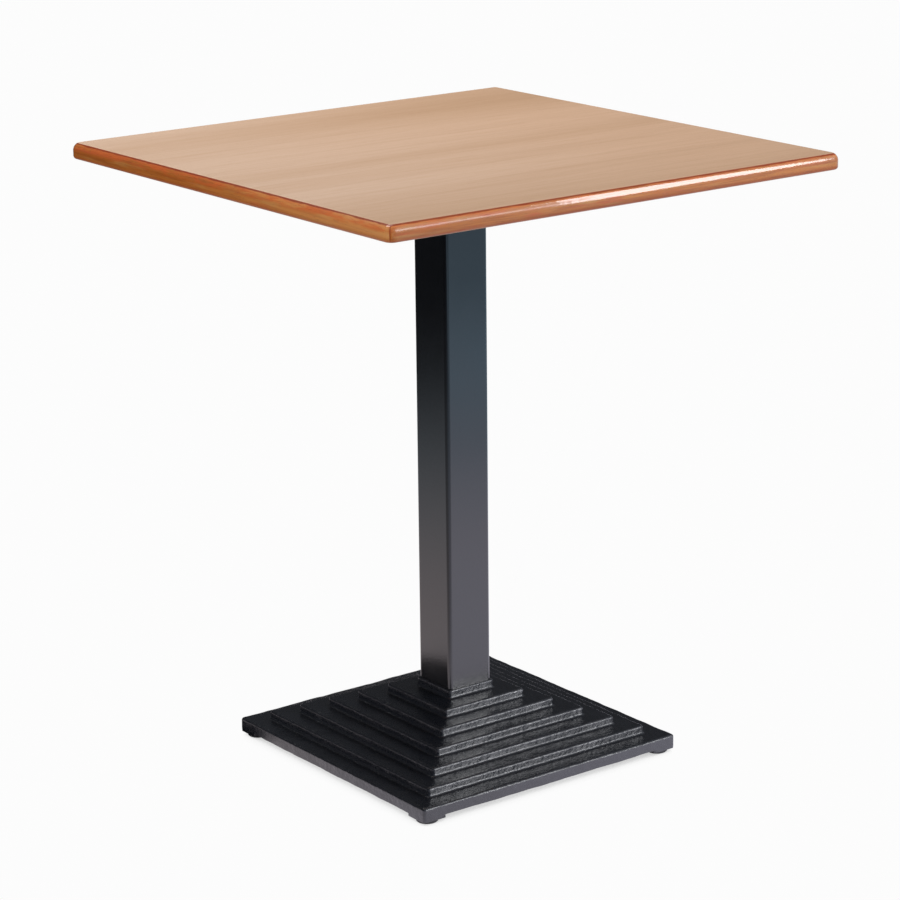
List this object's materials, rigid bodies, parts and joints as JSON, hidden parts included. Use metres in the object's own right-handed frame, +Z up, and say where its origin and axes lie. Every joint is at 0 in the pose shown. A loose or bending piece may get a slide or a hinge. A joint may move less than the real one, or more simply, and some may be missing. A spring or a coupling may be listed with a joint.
{
  "type": "bistro table",
  "caption": "Square wood-veneered table top with varnished solid-wood edging on a black square steel column and a black stepped pyramid cast base with levelling feet.",
  "frame": {"origin": "on the floor under the centre of the column, with the levelling feet screwed right in", "axes": "+Z up; X and Y parallel to the sides of the square top; front is -Y and left is -X"},
  "size_m": [0.65, 0.65, 0.75],
  "materials": {
    "face_veneer": "light straight-grained beech-toned veneer, satin lacquer",
    "backing_veneer": "plain balancing veneer, thin sealer",
    "core_board": "particle board, hidden",
    "lipping_wood": "reddish-brown stained solid wood, gloss varnish",
    "column_powder_coat": "black satin powder coat on steel",
    "base_paint": "cast iron, black semi-gloss paint",
    "spider_paint": "cast iron, black paint",
    "zinc_hardware": "zinc-plated steel",
    "sole_nylon": "black nylon"
  },
  "bodies": {
    "table": {"top_core": "core_board", "top_veneer": "face_veneer", "underside_veneer": "backing_veneer", "edge_lipping_front": "lipping_wood", "edge_lipping_right": "lipping_wood", "edge_lipping_back": "lipping_wood", "edge_lipping_left": "lipping_wood", "mounting_spider": "spider_paint", "spider_screws": "zinc_hardware", "column_tube": "column_powder_coat", "base_casting": "base_paint", "tie_rod": "zinc_hardware", "tie_rod_top_washer": "zinc_hardware", "tie_rod_top_nut": "zinc_hardware", "tie_rod_base_washer": "zinc_hardware", "tie_rod_base_nut": "zinc_hardware"},
    "sole_front_left": {"levelling_sole_front_left": "sole_nylon"},
    "sole_front_right": {"levelling_sole_front_right": "sole_nylon"},
    "sole_back_right": {"levelling_sole_back_right": "sole_nylon"},
    "sole_back_left": {"levelling_sole_back_left": "sole_nylon"},
    "stud_front_left": {"levelling_stud_front_left": "zinc_hardware"},
    "stud_front_right": {"levelling_stud_front_right": "zinc_hardware"},
    "stud_back_right": {"levelling_stud_back_right": "zinc_hardware"},
    "stud_back_left": {"levelling_stud_back_left": "zinc_hardware"}
  },
  "joints": [
    {"name": "foot_lift_front_left", "type": "slide", "parent": "table", "child": "sole_front_left", "axis": [0, 0, 1], "range_m": [-0.005, 0]},
    {"name": "foot_lift_front_right", "type": "slide", "parent": "table", "child": "sole_front_right", "axis": [0, 0, 1], "range_m": [-0.005, 0]},
    {"name": "foot_lift_back_right", "type": "slide", "parent": "table", "child": "sole_back_right", "axis": [0, 0, 1], "range_m": [-0.005, 0]},
    {"name": "foot_lift_back_left", "type": "slide", "parent": "table", "child": "sole_back_left", "axis": [0, 0, 1], "range_m": [-0.005, 0]},
    {"name": "foot_screw_front_left", "type": "hinge", "parent": "sole_front_left", "child": "stud_front_left", "pos_m": [-0.177, -0.177, 0.01], "axis": [0, 0, 1], "range_deg": [-1440, 0]},
    {"name": "foot_screw_front_right", "type": "hinge", "parent": "sole_front_right", "child": "stud_front_right", "pos_m": [0.177, -0.177, 0.01], "axis": [0, 0, 1], "range_deg": [-1440, 0]},
    {"name": "foot_screw_back_right", "type": "hinge", "parent": "sole_back_right", "child": "stud_back_right", "pos_m": [0.177, 0.177, 0.01], "axis": [0, 0, 1], "range_deg": [-1440, 0]},
    {"name": "foot_screw_back_left", "type": "hinge", "parent": "sole_back_left", "child": "stud_back_left", "pos_m": [-0.177, 0.177, 0.01], "axis": [0, 0, 1], "range_deg": [-1440, 0]}
  ],
  "couplings": [
    {"joint": "foot_lift_front_left", "follows": "foot_screw_front_left", "m_per_rad": 0.00019894},
    {"joint": "foot_lift_front_right", "follows": "foot_screw_front_right", "m_per_rad": 0.00019894},
    {"joint": "foot_lift_back_right", "follows": "foot_screw_back_right", "m_per_rad": 0.00019894},
    {"joint": "foot_lift_back_left", "follows": "foot_screw_back_left", "m_per_rad": 0.00019894}
  ]
}
